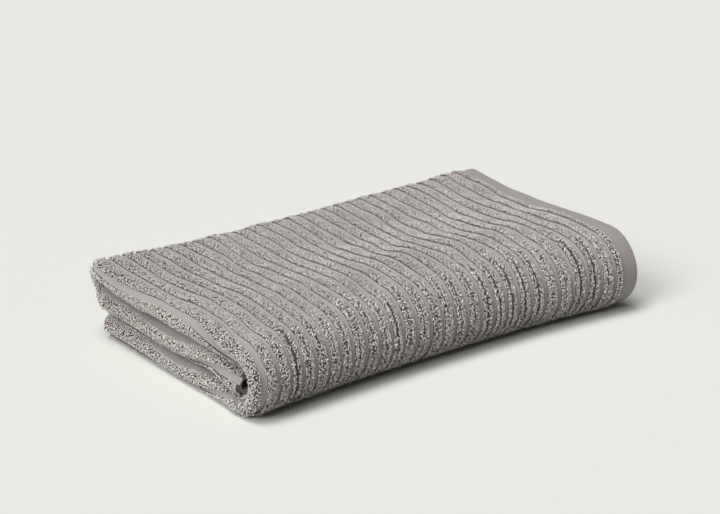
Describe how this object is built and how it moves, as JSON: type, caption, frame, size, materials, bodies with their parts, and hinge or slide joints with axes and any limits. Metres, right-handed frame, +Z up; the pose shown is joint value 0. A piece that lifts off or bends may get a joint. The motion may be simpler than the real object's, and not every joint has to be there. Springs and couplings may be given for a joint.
{
  "type": "folded bath towel",
  "caption": "Ribbed terry bath towel folded in thirds each way, with a tall near roll, a low far fold, tucked flaps and a smooth hem at one end",
  "frame": {"origin": "under the middle of the folded pack, on the surface that it lies on", "axes": "+X along the long side, towards the hem; +Y across, from the tall roll towards the low far fold; +Z up"},
  "size_m": [0.481, 0.2878, 0.0841],
  "materials": {
    "terry": "taupe-grey cotton terry in raised ribs with flat-woven strips between them and a flat-woven hem, fully matt"
  },
  "bodies": {
    "root": {"towel": "terry"}
  },
  "joints": []
}
